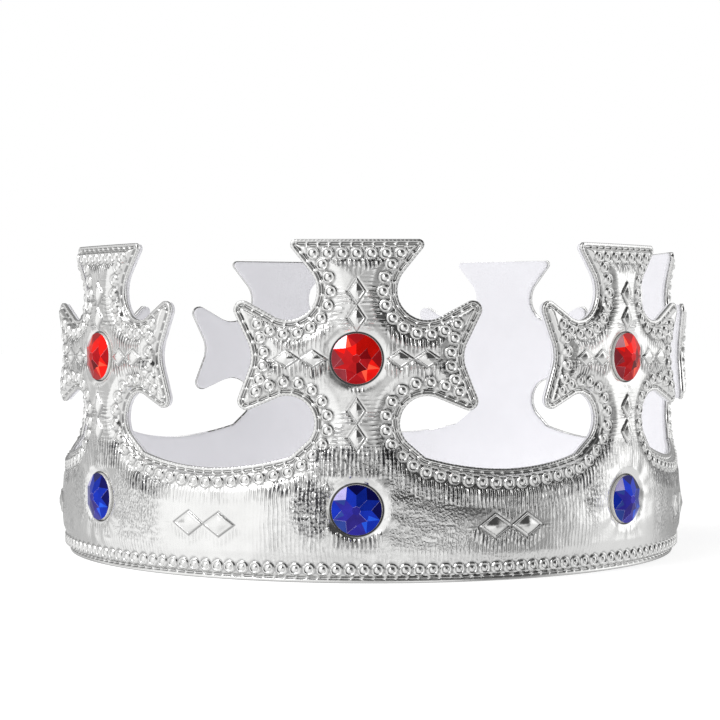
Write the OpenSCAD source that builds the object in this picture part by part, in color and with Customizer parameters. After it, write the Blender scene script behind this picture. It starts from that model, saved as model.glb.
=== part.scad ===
// Padded costume crown: a closed band with seven flared crosses, each with a
// red stone at its heart and a blue stone on the band below it.
// The ring's axis is Z, the crown stands on z = 0 and one cross faces -Y.

/* [Ring] */
// Outer radius of the thin welded rim, round the band
rim_r = 95; // [88:0.5:102]
// Height of the band in the middle of a bay
band_h = 30.4; // [29.4:0.2:31.4]
// Thickness of the thin welded rim of the cover
rim_t = 1; // [0.8:0.1:1.4]
// Height of the padding above the rim
pad_t = 2; // [1.6:0.1:2.6]
// Distance from the edge to the foot of the padding
pad_inset = 1.8; // [1.4:0.1:2.1]
// Thickness of the plain backing sheet
backing_t = 1; // [0.8:0.1:1.4]
// How far round the rear crosses sit from even spacing, in degrees
rear_turn = 3; // [0:0.5:4]

/* [Crosses] */
// Height of the crown at the top of a cross
cross_h = 92.8; // [92:0.2:94]
// Radius of the upright curve that the arms of a cross follow
arm_r = 247; // [200:1:300]
// Radius of the two top corners
corner_r = 1.5; // [0.8:0.1:1.7]

/* [Stones] */
// Diameter of a stone
stone_d = 13.6; // [12:0.1:14]
// Height of the stone's round side wall
stone_wall = 1.6; // [1.2:0.1:2]
// Height of the cut facets above the side wall
stone_crown = 1.9; // [1.2:0.1:2.4]
// Height of a red stone's centre above the bottom edge
red_z = 60.6; // [60:0.1:61.2]
// Height of a blue stone's centre above the bottom edge
blue_z = 20; // [18:0.1:21]
// Depth of the flat-bottomed seat below the padding
seat_depth = 1.1; // [0.8:0.1:1.4]

/* [Diamonds] */
// Height of the raised diamonds above the padding
diamond_h = 1.3; // [0.8:0.1:1.6]
// Long and short side of a diamond on a cross
cross_diamond = [6.9, 4.6]; // [6:0.1:7.2]
// Width and height of a diamond on the band
band_diamond = [9.3, 6.6]; // [8:0.1:9.6]

/* [Closure] */
// Width of the patch that joins the two ends of the band
patch_w = 26; // [20:1:30]
// Height of the patch
patch_h = 15; // [12:1:16]

/* [Hidden] */
$fn = 180;
crosses = 7;
NUMBERS = [for (i = [1:crosses]) i];

gap = 0.1;             // between pieces that touch on the real crown
backing_trim = 0.3;    // how far the backing ends inside the cover's edge
slit = 0.3;            // between the two ends of the band
sunk = 0.4;            // how deep a raised form runs into what carries it
lip = 0.15;            // how far the rim of a diamond stands above the padding
step_out = 0.1;        // how far a cross stands outside the band where they join
cut_near = 80;         // radial cutters run from this radius
cut_far = 115;         // to this radius
bend_z = 37;           // height at which the round band passes into a cross
bend_lap = 1;          // overlap of band and cross above and below that height
root_z = 20;           // height inside the band where a cross's outline ends
root_w = 40;           // half width of the outline there
patch_z = 4;           // lower edge of the patch
stone_gap = 0.15;      // round a stone in its seat
cover_in = rim_r - rim_t;            // inside of the cover
pad_r = rim_r + pad_t;               // outside of the padding
backing_out = cover_in - gap;        // outside of the backing sheet
backing_in = backing_out - backing_t; // inside of the backing sheet
bay = 360 / crosses;

// Arcs of one half of a cross's outline, from the top to the band, as seen
// square on. A hollow arc bends into the cross and a round one bulges out.
ACROSS = 0;   // column: centre, distance from the middle line
UP = 1;       // column: centre, height
RADIUS = 2;   // column: radius at the edge
SIDE = 3;     // column: 1 for a hollow arc, -1 for a round one
FROM = 4;     // column: first angle
TO = 5;       // column: last angle
STEPS = 6;    // column: straight steps along the arc
OUTLINE_ARCS = [
    [18.9, 79.0, 8.0, 1, 141, 304, 10],    // gap between top and arm
    [31.2, 73.8, 2.5, -1, 124, -29, 6],    // upper tip of the arm
    [38.15, 61.1, 9.25, 1, 151, 203, 5],   // hollow end of the arm
    [30.2, 49.1, 2.5, -1, 23, -116, 6],    // lower tip of the arm
    [18.9, 43.2, 7.3, 1, 64, 232, 10],     // gap below the arm
    [42.6, band_h + 84.9, 85, 1, 253.5, 268.5, 3]  // shallow dip of the bay
];
SIDE_LINE = 51;  // slope of the straight side below the top corner, in degrees

// Pairs of diamonds on a cross: distance of each of the two centres from the
// stone's centre, and the direction in which the pair lies.
NEAR = 0;  // column: nearer centre
FAR = 1;   // column: further centre
WAY = 2;   // column: direction, 0 is towards the right
DIAMOND_PAIRS = [
    [11.7, 18.9, 0],    // right of the stone
    [10.9, 18.1, 90],   // above the stone
    [11.7, 18.9, 180],  // left of the stone
    [14.0, 21.2, 270]   // below the stone
];

// Angle of cross i round the ring. The first faces -Y, and the ones at the
// back sit a little round from even spacing, as the hand-closed ring does.
function cross_angle(i) = (i - 1) * bay - rear_turn * (1 - cos((i - 1) * bay)) / 2;

// Angle of the middle of the bay after cross i
function bay_angle(i) = (cross_angle(i) + cross_angle(i + 1)) / 2;

rear_bay = bay_angle(ceil(crosses / 2));  // the bay that holds the closure

// Points of one arc of the outline, moved inwards by inset
function arc_points(row, inset) =
    let (r = row[RADIUS] + row[SIDE] * inset)
    [for (k = [0:row[STEPS]])
        let (a = row[FROM] + (row[TO] - row[FROM]) * k / row[STEPS])
        [row[ACROSS] + r * cos(a), row[UP] + r * sin(a)]];

// Centre of the round top corner: m in from the top edge and the side line
function corner_centre(m) =
    let (row = OUTLINE_ARCS[0], r = row[RADIUS] + m, up = cross_h - m)
    [row[ACROSS] - r * sin(SIDE_LINE) + (up - row[UP] - r * cos(SIDE_LINE)) / tan(SIDE_LINE), up];

// Points of the top corner, which is sharp where the inset uses up its radius
function corner_points(inset) =
    let (m = max(corner_r, inset), r = m - inset, c = corner_centre(m))
    r == 0 ? [c] : [for (k = [0:3]) let (a = 90 - (180 - SIDE_LINE) * k / 3) c + r * [cos(a), sin(a)]];

// Right half of a cross's outline, top to bottom
function half_outline(inset) = concat(
    corner_points(inset),
    [for (row = OUTLINE_ARCS) each arc_points(row, inset)],
    [[root_w, root_z]]
);

// The same points mirrored, bottom to top
function mirrored(points) = [for (k = [len(points) - 1:-1:0]) [-points[k][0], points[k][1]]];

module cross_outline(inset) {
    half = half_outline(inset);
    polygon(concat(half, mirrored(half)));
}

// Runs its children outwards from the ring's axis, in the direction of -Y
module radially() {
    translate([0, -cut_near, 0]) rotate([90, 0, 0]) linear_extrude(cut_far - cut_near) children();
}

// Upright round wall between two radii and two heights, which starts and ends
// at the slit
module round_wall(r_in, r_out, z_low, z_high) {
    rotate([0, 0, rear_bay - 90]) rotate_extrude()
        translate([r_in, z_low]) square([r_out - r_in, z_high - z_low]);
}

// Upright wall on the flatter curve of a cross, which passes through the same
// radii as the band's wall at the middle of the cross
module flat_wall(r_in, r_out, z_low, z_high) {
    shift = arm_r - rim_r - step_out;
    translate([0, shift, z_low]) linear_extrude(z_high - z_low) difference() {
        circle(arm_r - rim_r + r_out, $fn = 360);
        circle(arm_r - rim_r + r_in, $fn = 360);
    }
}

// The whole sheet between two radii: the round band with the flared roots of
// the crosses, and the crosses on their flatter curve
module sheet(r_in, r_out, inset, joint_z) {
    intersection() {
        round_wall(r_in, r_out, inset, joint_z + bend_lap);
        union() {
            cylinder(r = cut_far, h = band_h - inset);
            for (i = NUMBERS) rotate([0, 0, cross_angle(i)]) radially() cross_outline(inset);
        }
    }
    for (i = NUMBERS) rotate([0, 0, cross_angle(i)]) intersection() {
        flat_wall(r_in, r_out, joint_z - bend_lap, cross_h);
        radially() cross_outline(inset);
    }
}

// Gap between the two ends of the band, at the back
module end_slit() {
    rotate([0, 0, rear_bay]) translate([-slit / 2, -cut_far, -1])
        cube([slit, cut_far - cut_near, band_h + 2]);
}

// Four-sided pyramid on a surface that faces -Y, on a straight foot that is
// sunk into it and stands out of it by a thin lip
module diamond(size) {
    w = size[0] / 2;
    h = size[1] / 2;
    foot = [[-w, sunk, 0], [0, sunk, -h], [w, sunk, 0], [0, sunk, h]];
    rim = [for (p = foot) [p[0], -lip, p[2]]];
    polyhedron(
        points = concat(foot, rim, [[0, -diamond_h, 0]]),
        faces = concat(
            [[0, 1, 2, 3]],
            [for (k = [0:3]) let (n = (k + 1) % 4) each [[n, k, k + 4, n + 4], [n + 4, k + 4, 8]]]
        )
    );
}

// The diamonds of one cross, on its flatter curve
module cross_diamonds() {
    face_r = arm_r + pad_t;
    for (row = DIAMOND_PAIRS, reach = [row[NEAR], row[FAR]]) {
        across = reach * cos(row[WAY]);
        lean = asin(across / face_r);
        translate([0, arm_r - rim_r - step_out, red_z + reach * sin(row[WAY])])
            rotate([0, 0, lean]) translate([0, -face_r, 0])
            rotate([0, row[WAY], 0]) diamond(cross_diamond);
    }
}

// The two diamonds side by side in a bay
module bay_diamonds() {
    spread = asin(band_diamond[0] * 0.51 / pad_r);
    for (side = [-1, 1]) rotate([0, 0, side * spread])
        translate([0, -pad_r, band_h / 2]) diamond(band_diamond);
}

// Flat-bottomed seat of a stone whose padding lies at radius r
module seat(r, z) {
    translate([0, -r + seat_depth, z]) rotate([90, 0, 0]) cylinder(d = stone_d + 2 * stone_gap, h = 8);
}

// Padded cover: thin rim all round, padding inside it, diamonds and seats
module cover() color([0.8, 0.8, 0.82]) difference() {
    union() {
        sheet(cover_in, rim_r, 0, bend_z);
        sheet(rim_r - rim_t / 2, pad_r, pad_inset, bend_z);
        for (i = NUMBERS) {
            rotate([0, 0, cross_angle(i)]) cross_diamonds();
            rotate([0, 0, bay_angle(i)]) bay_diamonds();
        }
    }
    for (i = NUMBERS) rotate([0, 0, cross_angle(i)]) {
        seat(pad_r + step_out, red_z);
        seat(pad_r, blue_z);
    }
    end_slit();
}

// Plain sheet that backs the cover on the inside
module backing() color([0.9, 0.9, 0.93]) difference() {
    sheet(backing_in, backing_out, backing_trim, bend_z + 2 * bend_lap + gap);
    end_slit();
}

// Plain patch inside the rear bay that holds the two ends together
module closure_patch() color([0.9, 0.9, 0.93]) {
    half_angle = asin(patch_w / 2 / backing_in);
    rotate([0, 0, rear_bay - 90 - half_angle]) rotate_extrude(angle = 2 * half_angle)
        translate([backing_in - gap - backing_t, patch_z]) square([backing_t, patch_h]);
}

// Cut round stone that faces +Z: a table, eight kites and eight outer facets
// above a round side wall with sixteen sides
module cut_stone() {
    r = stone_d / 2;
    star_r = 0.6 * r;     // radius of the notches between two kites
    table_r = 0.16 * r;   // half width of the table
    half = 22.5;          // angle between a kite's tip and its notch
    apex = stone_wall + stone_crown * r / (r - table_r);
    slope = (apex - stone_wall) / r;
    notch_z = apex - slope * star_r * cos(half);
    table_z = apex - slope * table_r;
    drop = (notch_z - stone_wall) / (r * cos(half) - star_r) * r * (1 - cos(half));
    function ring(radius, z, first) =
        [for (k = [0:7]) [radius * cos(first + k * 45), radius * sin(first + k * 45), z]];
    points = concat(
        ring(r, 0, half), ring(r, 0, 0),
        ring(r, stone_wall, half), ring(r, stone_wall - drop, 0),
        ring(star_r, notch_z, 0), ring(table_r / cos(half), table_z, 0)
    );
    // First point of each ring above: foot and rim of the side wall below the
    // tips and below the notches, then the notches and the table's corners
    foot_tip = 0;
    foot_notch = 8;
    rim_tip = 16;
    rim_notch = 24;
    star = 32;
    table = 40;
    faces = concat(
        [[for (k = [0:7]) each [foot_notch + k, foot_tip + k]]],
        [for (k = [0:7]) let (n = (k + 1) % 8, b = (k + 7) % 8) each [
            [foot_notch + k, rim_notch + k, rim_tip + k, foot_tip + k],
            [foot_tip + k, rim_tip + k, rim_notch + n, foot_notch + n],
            [rim_tip + b, star + k, rim_tip + k, rim_notch + k],
            [rim_tip + k, star + k, table + k, table + n, star + n]
        ]],
        [[for (k = [7:-1:0]) table + k]]
    );
    polyhedron(points, faces);
}

// Stone in its seat, whose padding lies at radius r
module placed_stone(i, r, z) {
    rotate([0, 0, cross_angle(i)]) translate([0, -r + seat_depth - gap, z]) rotate([90, 0, 0]) cut_stone();
}

module red_stone(i) color([0.75, 0.05, 0.08]) placed_stone(i, pad_r + step_out, red_z);

module blue_stone(i) color([0.05, 0.12, 0.6]) placed_stone(i, pad_r, blue_z);

cover();
backing();
closure_patch();
for (i = NUMBERS) red_stone(i);
for (i = NUMBERS) blue_stone(i);
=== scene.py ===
# Looks of the padded costume crown: embossed silver cover, pale backing, cut
# stones, soft studio light and the camera. Lengths are in millimetres until a
# mesh is made, and the values repeat those of the part's source. The floor,
# the lamps and the camera are in metres.

from math import ceil, cos, pi, radians, sin, tan

import bmesh
import bpy
import numpy as np
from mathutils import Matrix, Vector
from mathutils.geometry import delaunay_2d_cdt
from mathutils.kdtree import KDTree
from numpy import column_stack, concatenate
from numpy.linalg import norm


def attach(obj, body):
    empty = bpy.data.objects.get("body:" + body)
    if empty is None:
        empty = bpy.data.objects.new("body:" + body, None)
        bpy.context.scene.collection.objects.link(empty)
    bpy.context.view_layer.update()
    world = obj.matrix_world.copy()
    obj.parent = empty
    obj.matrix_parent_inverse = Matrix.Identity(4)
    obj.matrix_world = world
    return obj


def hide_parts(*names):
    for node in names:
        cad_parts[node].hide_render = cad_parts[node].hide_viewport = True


MM = 0.001

# Sizes of the part
CROSSES = 7
RIM_R = 95.0
RIM_T = 1.0
BAND_H = 30.4
CROSS_H = 92.8
ARM_R = 247.0
CORNER_R = 1.5
REAR_TURN = 3.0
STEP_OUT = 0.1
SLIT = 0.3
PAD_T = 2.0
STONE_D = 13.6
STONE_WALL = 1.6
STONE_CROWN = 1.9
SEAT_DEPTH = 1.1
STONE_GAP = 0.1
RED_Z = 60.6
BLUE_Z = 20.0
BACKING_TRIM = 0.3
BACKING_OUT = 93.9
BACKING_IN = 92.9
PATCH_W = 26.0
PATCH_H = 15.0
PATCH_T = 1.0
PATCH_Z = 4.0
PATCH_GAP = 0.1
COVER_FOLD = 0.55  # how far below its face a sheet's edge wall has a middle row
BACKING_FOLD = 0.5
BAY = 360.0 / CROSSES
HALF_BAY = RIM_R * radians(BAY / 2)
SEAT_HEIGHT = PAD_T - SEAT_DEPTH
REAR = ceil(CROSSES / 2)  # the slit lies in the bay after this cross

# Right half of a cross's outline: centre across and up, radius, 1 for a hollow
# arc or -1 for a round one, first and last angle
OUTLINE_ARCS = [
    (18.9, 79.0, 8.0, 1, 141, 304),
    (31.2, 73.8, 2.5, -1, 124, -29),
    (38.15, 61.1, 9.25, 1, 151, 203),
    (30.2, 49.1, 2.5, -1, 23, -116),
    (18.9, 43.2, 7.3, 1, 64, 232),
    (42.6, BAND_H + 85, 85.0, 1, 253.5, 269.4),
]
SIDE_LINE = 51
CORNER_POINTS = 9
BEND = (33, 43)  # heights between which the round band passes into a cross
STRETCH = (12, HALF_BAY)  # part of a bay that is stretched to meet the next one
STRETCH_TOP = (36, 44)

# Diamonds: centre across, centre up, half width, half height
BAY_DIAMOND_STEP = 4.75
DIAMONDS = [
    (11.7, RED_Z, 3.45, 2.3),
    (18.9, RED_Z, 3.45, 2.3),
    (0.0, RED_Z + 10.9, 2.3, 3.45),
    (0.0, RED_Z + 18.1, 2.3, 3.45),
    (0.0, RED_Z - 14.0, 2.3, 3.45),
    (0.0, RED_Z - 21.2, 2.3, 3.45),
    (HALF_BAY - BAY_DIAMOND_STEP, BAND_H / 2, 4.65, 3.3),
    (HALF_BAY + BAY_DIAMOND_STEP, BAND_H / 2, 4.65, 3.3),
]
# Height of a diamond's rim and foot by the share of its size
DIAMOND_PROFILE = ([0, 0.8, 0.92, 1.05, 1.25], [0.1, 0.1, 0.4, -0.22, 0])
# Share of the size that the pointed top takes, and how high it rises
DIAMOND_TOP = 0.8
DIAMOND_RISE = 0.8
RIDGE_R = 0.45  # how far the ridges of a diamond are rounded

# Rows of embossed rings
BEAD_IN = 3.85
BEAD_PROFILE = (
    [0, 0.35, 0.7, 0.97, 1.1, 1.22, 1.36, 1.5, 1.66, 1.84, 2.1],
    [0.5, 0.44, 0.25, 0.06, 0.27, 0.4, 0.44, 0.34, 0.02, -0.14, 0],
)
TOP_BEADS = 3
TOP_BEAD_PITCH = 3.94
CORNER_BEAD = (11.82, 88.95)
UPPER_TIP_BEAD = (26.9, 69.95)
LOWER_TIP_BEAD = (27.5, 51.6)
END_BEADS = [(26.1, 66.1), (25.2, 62.3), (25.3, 58.6), (26.4, 54.9)]
SIDE_BEADS = 10
ROOT_BEADS = 17
BOTTOM_BEADS = 12
BOTTOM_BEAD_Z = 3.7

# Welded edge: fall and reach of its round border, the groove with its dashes,
# and the small knurls along the top
EDGE_FALL = (0.14, 0.28)
GROOVE = (0.86, 0.98, 1.42, 1.54)
GROOVE_DEPTH = 0.05
DASH_DEPTH = 0.35
DASH_PITCH = 3.0
BOTTOM_DASHES = 28
NOTCH_DEPTH = 0.08
NOTCH_STEPS = 4
# Rise of the padding: distance from the edge where it starts and ends, how
# much further it runs at the bottom edge, and height
PAD_RISES = [(1.55, 2.45, 0, 1.15), (4.5, 7.6, 1, 0.85), (6.6, 12, 0, 0.3), (10, 15, 0, 0.35)]
# Lip round a stone: height, and distances from the stone's centre
LIP_RISE = 0.85
LIP = (6.8, 6.98)
LIP_FADE = (7.0, 9.4)

# Points of the pattern: steps along the outline, the bottom edge, the rings
# and the grid, points round a seat, and least distances between points
LINE_STEP = 0.1
EDGE_STEP = 0.27
BOTTOM_STEP = 0.42
BEAD_STEP = 0.36
GRID = 0.45
SEAT_STEPS = 112
FORM_APART = 0.1
GRID_APART = 0.3
SNAP = 0.06
ON_LINE = 1e-6
NEAR_LINE = 1e-4
BORDER_POINTS = 70
STONES = [(0.0, RED_Z), (0.0, BLUE_Z)]
SEAT_RINGS = [6.4, 6.76, 6.83, 6.9, 6.97, 7.06, 7.2, 7.45, 7.8, 8.2, 8.7, 9.3]
SEAT_FLOOR = 6.2
EDGE_ROWS = [0.1, 0.25, 0.55, 0.84, 0.92, 1.0, 1.2, 1.4, 1.48, 1.56, 1.74, 1.95, 2.2]
BEAD_RINGS = BEAD_PROFILE[0][1:-1]
BACK_GRID = 3.0
BACKING_STEP = 0.9
BACKING_GRID = 1.6
PATCH_GRID = (52, 30)
PATCH_CORNER = 0.072
PATCH_SOFT = 0.45

# Painted shade lines that darken the grooves of the relief: place, width and how dark
BEAD_SHADE_LINES = [(1.8, 0.1, 0.6), (0.97, 0.09, 0.38)]
DIAMOND_SHADE_LINES = [(1.05, 0.06, 0.7), (0.8, 0.05, 0.1)]
GROOVE_SHADE_LINES = [(0.93, 0.1), (1.48, 0.12)]
SEAT_SHADE_LINE = 7.08

# Wrinkles of the padding: length round and up, height and seed
WRINKLES = [(11, 9, 0.2, 1), (4.3, 5.5, 0.1, 2)]
# Folds that run out from the stones: how many, and their height on the padding
# round a red and a blue one
FOLDS = 19
FOLD_HEIGHTS = np.array([0.14, 0.4])
# Fine creases: stretch of each kind, stretch of the places where single ones
# start and end, and depth in metres
CREASE_KINDS = [
    ("tall", (1.0, 0.13, 1), (1.0, 0.4, 1), 0.00039),
    ("level", (0.13, 1.0, 1), (0.4, 1.0, 1), 0.00039),
    ("grain", (1.3, 1.0, 1), (0.4, 1.0, 1), 0.00018),
]
# How much painted shade darkens the foil in the valleys of the fine creases
VALLEY_PAINTED_SHADE = 0.78
# Zones of creases near the stones: 0 for both sides of the cross, else the side
# on which it lies, soft limits across and up, and how strong its upright and
# its pebbled creases are
CREASE_ZONES = [
    (0, (-2, -1, 9, 13), (28.3, 29.6, 35, 38), 1.2, 0.4),
    (0, (-2, -1, 4.5, 7.5), (9, 10.2, 13, 14.5), 1.0, 0.0),
    (-1, (8, 12, 27, 34), (6, 10, 21, 26), 0.32, 0.0),
    (1, (7.5, 10, 25, 32), (8, 11, 25, 30), 0.0, 0.45),
]
CREASE_STEP = 0.3
CREASES_ABOVE = 0.15  # share of the creases on the upper side of a weld
# Places round the ring and up, their reach both ways and what share of the
# creases stays there
CALM_PLACES = [
    (-41, 16, 19, 18, 0.15),
    (62, 13, 14, 8, 0.5),
    (86, 14, 17, 26, 0.12),
    (-90, 14, 16, 26, 0.3),
]

# Cut stones: facets, straight steps along the round edge of one outer facet,
# radii as shares of the stone's, how much of the wall the foil covers, width
# of an edge that catches the light, and which edges do
FACETS = 8
STONE_STEPS = 6
STAR_SHARE = 0.6
HEART_SHARE = 0.52
TABLE_SHARE = 0.16
FOIL_SHARE = 0.85
EDGE_WIDTH = 0.02
EDGE_LINES = [True, False, False, True, False, False, False]
# Painted light and shade of each facet by its place, with a painted glint on the upper-left outer facet:
# outer facets from the right, anticlockwise, then the two outer halves and the inner part of each kite
RED_PLACES = [
    ("dark", "bright", "bright", "dark"),
    ("bright", "bright", "bright", "bright"),
    ("dark", "mid", "light", "bright"),
    ("glint", "bright", "mid", "mid"),
    ("muted", "muted", "mid", "mid"),
    ("muted", "dark", "dark", "mid"),
    ("dark", "mid", "light", "deep"),
    ("bright", "light", "bright", "dark"),
]
BLUE_PLACES = [
    *[("deep", "bright", "bright", "bright")] * 3,
    ("glint", "muted", "mid", "mid"),
    ("bright", "muted", "mid", "mid"),
    ("muted", "dark", "dark", "dark"),
    ("mid", "mid", "light", "dark"),
    ("bright", "light", "bright", "bright"),
]
# Lit and shaded copies of each stone's colour, painted on its facets for the light, shade and reflections
# that fall there; glint is a painted highlight
RED_PAINTED_LIGHT_TONES = {
    "glint": (0.72, 0.33, 0.38),
    "light": (1.0, 0.1, 0.05),
    "bright": (0.92, 0.01, 0.006),
    "mid": (0.52, 0.012, 0.014),
    "dark": (0.40, 0.008, 0.012),
    "deep": (0.13, 0.002, 0.004),
    "muted": (0.28, 0.035, 0.045),
}
BLUE_PAINTED_LIGHT_TONES = {
    "glint": (0.50, 0.46, 0.80),
    "light": (0.02, 0.10, 0.75),
    "bright": (0.008, 0.03, 0.43),
    "mid": (0.03, 0.025, 0.31),
    "dark": (0.03, 0.02, 0.21),
    "deep": (0.006, 0.006, 0.11),
    "muted": (0.03, 0.06, 0.30),
}

# Other colours
FOIL_TINT = (0.92, 0.91, 0.88)
BACKING_TINT = (0.89, 0.885, 0.92)
PATCH_TINT = (0.87, 0.865, 0.90)
SILVER_TONES = [(0.3, (0.82, 0.82, 0.81)), (0.7, (0.93, 0.93, 0.92))]
# Colour of the painted shade in the foil's crevices and crease valleys
PAINTED_SHADE_TONE = (0.06, 0.06, 0.065, 1)

# Soft panels round the crown: azimuth from the front towards the right, height
# in degrees, half angle of the whole panel and of its full part, and how much
# brighter or darker than the room it is
ROOM_LEVEL = 0.8
PANELS = [
    (-70, 10, 72, 30, 1.35),
    (40, 42, 48, 28, 0.12),
    (28, 4, 45, 28, 0.62),
    (0, 85, 35, 20, 1.6),
    (-3, 60, 25, 12, 0.4),
    (56, -16, 24, 11, 0.52),
    (16, -22, 26, 10, 1.3),
    (23, -19, 17, 9, 1.46),
    (42, 2, 20, 9, 1.35),
    (70, 46, 20, 10, 0.55),
    (74, 4, 17, 7, 0.78),
    (165, 20, 60, 30, 0.8),
    (-100, 4, 19, 9, 0.55),
    (102, 18, 36, 18, 1.65),
    (205, 42, 46, 24, 0.4),
    (155, 4, 30, 14, 0.62),
    (222, -4, 28, 12, 0.7),
]
# Lamps: name, diameter, power, spread in degrees, place and what it faces
LAMPS = [
    ("key", 0.5, 3, 180, (-0.55, -0.6, 0.75), (0, 0, 0.05)),
    ("side", 0.1, 0.0024, 50, (-0.046, -0.1665, 0.149), (-0.068, -0.072, 0.06)),
]
FLOOR_REACH = 4
FLOOR_GLOW = 0.74
EYE = (0.0237, -0.6035, 0.06955)
EYE_TURN = 2.58
EYE_DOWN = 1.0485
LENS = 94.6


def smooth(x, low, high):
    """Smooth step from 0 at low to 1 at high."""
    t = np.clip((x - low) / (high - low), 0, 1)
    return t * t * (3 - 2 * t)


def within(x, start, full, fade, end):
    """1 from full to fade, and softly down to 0 at start and at end."""
    return smooth(x, start, full) * (1 - smooth(x, fade, end))


def line_at(x, middle, width):
    """1 on a thin soft line at middle."""
    return np.exp(-((x - middle) / width) ** 2)


def cross_angle(i):
    """Angle of cross i round the ring, in degrees; the first faces -Y."""
    a = (i - 1) * BAY
    return a - REAR_TURN * (1 - cos(radians(a))) / 2


def across_on_sheet(x, z):
    """Distance along the curved sheet of a point that lies x across and z up."""
    round_s = RIM_R * np.arcsin(np.clip(x / RIM_R, -1, 1))
    flat_s = ARM_R * np.arcsin(x / ARM_R)
    w = smooth(z, *BEND)
    return round_s * (1 - w) + flat_s * w


def arc_points(row, inset, step):
    """Points about step apart on one arc of the outline, moved inwards."""
    ax, az, radius, side, first, last = row
    r = radius + side * inset
    n = max(2, int(ceil(abs(radians(last - first)) * r / step)))
    a = np.radians(np.linspace(first, last, n + 1))
    return column_stack([ax + r * np.cos(a), az + r * np.sin(a)])


def half_outline(step, trim=0.0):
    """Right half of the top edge in the sheet's own plane, from the top middle
    to the middle of the bay, as points about step apart."""
    ax, az, radius = OUTLINE_ARCS[0][:3]
    slope = radians(SIDE_LINE)
    m = max(CORNER_R, trim)
    r = radius + m
    up = CROSS_H - m
    cx = ax - r * sin(slope) + (up - az - r * cos(slope)) / tan(slope)
    corner_r = m - trim
    a = np.radians(np.linspace(90, SIDE_LINE - 90, CORNER_POINTS))
    corner = column_stack([cx + corner_r * np.cos(a), up + corner_r * np.sin(a)])
    parts = [np.array([[0.0, CROSS_H - trim]]), corner]
    parts += [arc_points(row, trim, step) for row in OUTLINE_ARCS]
    pts = concatenate(parts)
    pts[:, 0] = across_on_sheet(pts[:, 0], pts[:, 1])
    pts = pts[pts[:, 0] < HALF_BAY - 0.01]
    pts = np.vstack([pts, [HALF_BAY, BAND_H - trim]])
    return resample(pts, step)


def lengths(pts):
    """Length of a line of points from its first point up to each one."""
    return concatenate([[0], np.cumsum(norm(np.diff(pts, axis=0), axis=1))])


def resample(pts, step=None, count=None):
    """Points at even steps along a line of points, both ends kept."""
    t = lengths(pts)
    n = count or max(1, int(round(t[-1] / step)))
    at = np.linspace(0, t[-1], n + 1)
    return column_stack([np.interp(at, t, pts[:, k]) for k in (0, 1)])


def inwards(pts):
    """Unit directions that point from a top edge, walked from the top middle
    to the bay, into the sheet."""
    d = np.gradient(pts, axis=0)
    d /= norm(d, axis=1)[:, None]
    n = column_stack([d[:, 1], -d[:, 0]])
    n[0] = (0, -1)
    n[-1] = (0, -1)
    return n


def tree_of(pts):
    """Search tree of flat points."""
    tree = KDTree(len(pts))
    for k, p in enumerate(pts):
        tree.insert((p[0], p[1], 0), k)
    tree.balance()
    return tree


def nearest(tree, pts):
    """Index of and distance to the nearest point of a tree."""
    found = [tree.find((p[0], p[1], 0))[1:] for p in pts]
    return np.array([f[0] for f in found]), np.array([f[1] for f in found])


class Edges:
    """The sheet's edges near one half of a unit, as dense points."""

    def __init__(self):
        top = half_outline(LINE_STEP)
        along_top = lengths(top)
        self.half = along_top[-1]
        beyond = top[::-1] * [-1, 1] + [2 * HALF_BAY, 0]
        over = top[1:] * [-1, 1]
        across = np.arange(-12, HALF_BAY + 12, LINE_STEP)
        bottom = column_stack([across, np.zeros(len(across))])
        self.points = concatenate([top, over, beyond, bottom])
        self.along = concatenate([along_top, -along_top[1:], 2 * self.half - along_top[::-1], across])
        self.low = concatenate([np.zeros(len(self.points) - len(bottom)), np.ones(len(bottom))])
        self.tree = tree_of(self.points)

    def measure(self, pts):
        """Distance from the edge, place along it, and 1 at the bottom edge."""
        k, d = nearest(self.tree, pts)
        return d, self.along[k], self.low[k]


def bead_centres(edges):
    """Centres of the embossed rings on one half, and the line they follow."""
    top = half_outline(LINE_STEP)
    line = top + inwards(top) * BEAD_IN
    d = edges.measure(line)[0]
    line = line[d > BEAD_IN - 0.03]

    def at(point):
        return int(np.argmin(norm(line - np.array(point), axis=1)))

    a, b, c = at(CORNER_BEAD), at(UPPER_TIP_BEAD), at(LOWER_TIP_BEAD)
    out = [[(k * TOP_BEAD_PITCH, CORNER_BEAD[1]) for k in range(TOP_BEADS + 1)]]
    out.append(resample(line[a:b + 1], count=SIDE_BEADS)[1:])
    out.append([(across_on_sheet(x, z), z) for x, z in END_BEADS])
    out.append([line[c]])
    out.append(resample(line[c:], count=ROOT_BEADS)[1:])
    pitch = HALF_BAY / (BOTTOM_BEADS - 0.5)
    out.append([((k + 0.5) * pitch, BOTTOM_BEAD_Z) for k in range(BOTTOM_BEADS)])
    return concatenate([np.array(o) for o in out]), line


def both_sides(pts, reach=6):
    """Points with their mirror images across both borders of the half."""
    left = pts[pts[:, 0] < reach] * [-1, 1]
    right = pts[pts[:, 0] > HALF_BAY - reach] * [-1, 1] + [2 * HALF_BAY, 0]
    return concatenate([pts, left, right])


def ring_points(centre, radius, step):
    """Points about step apart on a circle, a multiple of four."""
    n = max(6, int(round(2 * pi * radius / step / 4)) * 4)
    a = np.arange(n) * 2 * pi / n
    return column_stack([centre[0] + radius * np.cos(a), centre[1] + radius * np.sin(a)])


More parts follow.
